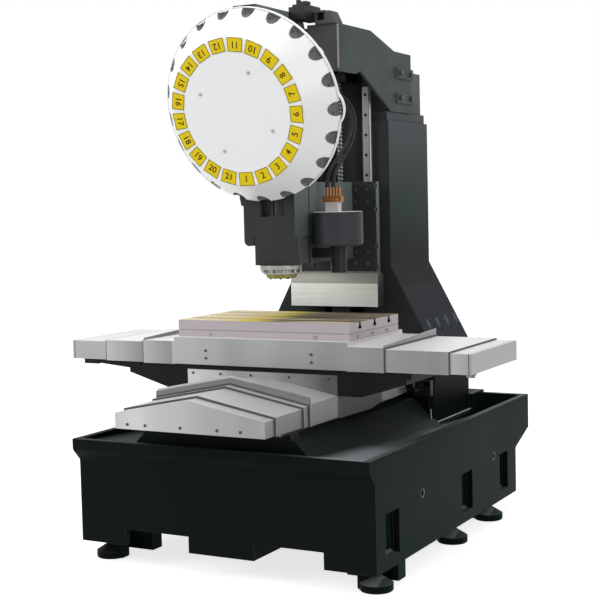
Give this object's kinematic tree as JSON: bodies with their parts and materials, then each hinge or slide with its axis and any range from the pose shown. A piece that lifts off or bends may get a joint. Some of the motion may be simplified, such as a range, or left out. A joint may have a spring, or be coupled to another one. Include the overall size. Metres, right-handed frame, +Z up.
{
  "type": "cnc machining center",
  "caption": "Vertical drilling and tapping centre without its enclosure: cast base and column, slotted cross table under telescopic covers, spindle head and a round tool turret.",
  "frame": {"origin": "on the floor, under the middle of the machine's outline; X is zero in the plane of the spindle and the turret", "axes": "+Z up, +Y from the operator to the column, +X to the operator's right"},
  "size_m": [1.673, 1.738, 2.053],
  "materials": {
    "dark_paint": "satin, dark green-grey enamel",
    "charcoal_paint": "satin, charcoal enamel",
    "white_paint": "gloss white enamel",
    "yellow_plate": "gloss",
    "sheet_steel": "brushed stainless sheet",
    "ground_iron": "ground",
    "rail_steel": "ground and hardened",
    "black_steel": "black oxide",
    "alloy": "satin",
    "brass": "copper-coloured",
    "white_plastic": "matte",
    "black_rubber": "matte"
  },
  "bodies": {
    "base": {"base_casting": "dark_paint", "levelling_feet": "rail_steel", "column": "dark_paint", "frame_bolts": "black_steel", "y_rails": "rail_steel", "fixed_screw_bearings": "rail_steel", "fixed_motors": "black_steel", "z_rails": "rail_steel", "cable_box": "dark_paint", "front_cover_1": "sheet_steel", "rear_cover_1": "sheet_steel", "z_cover_4": "sheet_steel", "magazine_arm": "dark_paint"},
    "y_screw_body": {"y_screw": "rail_steel"},
    "z_screw_body": {"z_screw": "rail_steel"},
    "x_screw_body": {"x_screw": "rail_steel"},
    "saddle_body": {"saddle": "dark_paint", "saddle_panels": "sheet_steel", "saddle_covers": "sheet_steel", "y_carriages": "rail_steel", "y_nut": "rail_steel", "x_rails": "rail_steel", "x_bearings": "rail_steel", "x_motor": "black_steel", "x_covers_outer": "sheet_steel"},
    "table_body": {"table": "ground_iron", "x_carriages": "rail_steel", "x_nut": "rail_steel", "table_skirts": "sheet_steel", "x_covers_inner": "sheet_steel"},
    "right_middle_cover": {"x_cover_right_middle": "sheet_steel"},
    "left_middle_cover": {"x_cover_left_middle": "sheet_steel"},
    "second_front_cover": {"front_cover_2": "sheet_steel"},
    "third_front_cover": {"front_cover_3": "sheet_steel"},
    "second_rear_cover": {"rear_cover_2": "sheet_steel"},
    "third_rear_cover": {"rear_cover_3": "sheet_steel"},
    "head": {"head_casting": "charcoal_paint", "cam_plate": "charcoal_paint", "slide_bolts": "black_steel", "z_carriages": "rail_steel", "z_nut": "rail_steel", "spindle_nose": "rail_steel", "spindle_motor": "black_steel", "side_can": "dark_paint", "valve_block": "white_plastic", "brass_fittings": "brass", "hoses": "black_rubber", "z_cover_1": "sheet_steel"},
    "spindle_body": {"spindle": "rail_steel"},
    "second_z_cover": {"z_cover_2": "sheet_steel"},
    "third_z_cover": {"z_cover_3": "sheet_steel"},
    "swing": {"pivot_pin": "rail_steel", "swing_arm": "dark_paint", "turret_motor": "black_steel", "guard_band": "sheet_steel"},
    "turret": {"turret_hub": "alloy", "turret_shell": "white_paint", "number_plates": "yellow_plate", "face_screws": "black_steel", "tool_grippers": "alloy"}
  },
  "joints": [
    {"name": "y_slide", "type": "slide", "parent": "base", "child": "saddle_body", "axis": [0, 1, 0], "range_m": [-0.246, 0.154]},
    {"name": "x_slide", "type": "slide", "parent": "saddle_body", "child": "table_body", "axis": [1, 0, 0], "range_m": [-0.3, 0.3]},
    {"name": "z_slide", "type": "slide", "parent": "base", "child": "head", "axis": [0, 0, 1], "range_m": [0, 0.33]},
    {"name": "spindle_spin", "type": "hinge", "parent": "head", "child": "spindle_body", "pos_m": [0, -0.1975, 1.18], "axis": [0, 0, 1], "continuous": true},
    {"name": "turret_swing", "type": "hinge", "parent": "base", "child": "swing", "pos_m": [0, -0.0805, 1.931], "axis": [1, 0, 0], "range_deg": [-6, 0]},
    {"name": "turret_spin", "type": "hinge", "parent": "swing", "child": "turret", "pos_m": [0, -0.4963, 1.6271], "axis": [0, -0.9691, -0.2465], "continuous": true},
    {"name": "y_screw_spin", "type": "hinge", "parent": "base", "child": "y_screw_body", "pos_m": [0, 0, 0.574], "axis": [0, 1, 0], "continuous": true},
    {"name": "x_screw_spin", "type": "hinge", "parent": "saddle_body", "child": "x_screw_body", "pos_m": [0, -0.1515, 0.735], "axis": [1, 0, 0], "continuous": true},
    {"name": "z_screw_spin", "type": "hinge", "parent": "base", "child": "z_screw_body", "pos_m": [0, 0.3215, 1.3], "axis": [0, 0, 1], "continuous": true},
    {"name": "right_cover_slide", "type": "slide", "parent": "saddle_body", "child": "right_middle_cover", "axis": [1, 0, 0], "range_m": [-0.1501, 0.1501]},
    {"name": "left_cover_slide", "type": "slide", "parent": "saddle_body", "child": "left_middle_cover", "axis": [1, 0, 0], "range_m": [-0.1501, 0.1501]},
    {"name": "second_front_slide", "type": "slide", "parent": "base", "child": "second_front_cover", "axis": [0, 1, 0], "range_m": [-0.069, 0.0432]},
    {"name": "third_front_slide", "type": "slide", "parent": "base", "child": "third_front_cover", "axis": [0, 1, 0], "range_m": [-0.1477, 0.0925]},
    {"name": "second_rear_slide", "type": "slide", "parent": "base", "child": "second_rear_cover", "axis": [0, 1, 0], "range_m": [-0.0821, 0.0514]},
    {"name": "third_rear_slide", "type": "slide", "parent": "base", "child": "third_rear_cover", "axis": [0, 1, 0], "range_m": [-0.1641, 0.1028]},
    {"name": "second_z_slide", "type": "slide", "parent": "base", "child": "second_z_cover", "axis": [0, 0, 1], "range_m": [0, 0.2201]},
    {"name": "third_z_slide", "type": "slide", "parent": "base", "child": "third_z_cover", "axis": [0, 0, 1], "range_m": [0, 0.1101]}
  ],
  "couplings": [
    {"joint": "y_screw_spin", "follows": "y_slide", "rad_per_m": 392.7},
    {"joint": "x_screw_spin", "follows": "x_slide", "rad_per_m": 392.7},
    {"joint": "z_screw_spin", "follows": "z_slide", "rad_per_m": 392.7},
    {"joint": "right_cover_slide", "follows": "x_slide", "ratio": 0.5},
    {"joint": "left_cover_slide", "follows": "x_slide", "ratio": 0.5},
    {"joint": "second_front_slide", "follows": "y_slide", "ratio": 0.28},
    {"joint": "third_front_slide", "follows": "y_slide", "ratio": 0.6},
    {"joint": "second_rear_slide", "follows": "y_slide", "ratio": 0.3333},
    {"joint": "third_rear_slide", "follows": "y_slide", "ratio": 0.6667},
    {"joint": "second_z_slide", "follows": "z_slide", "ratio": 0.6667},
    {"joint": "third_z_slide", "follows": "z_slide", "ratio": 0.3333}
  ]
}
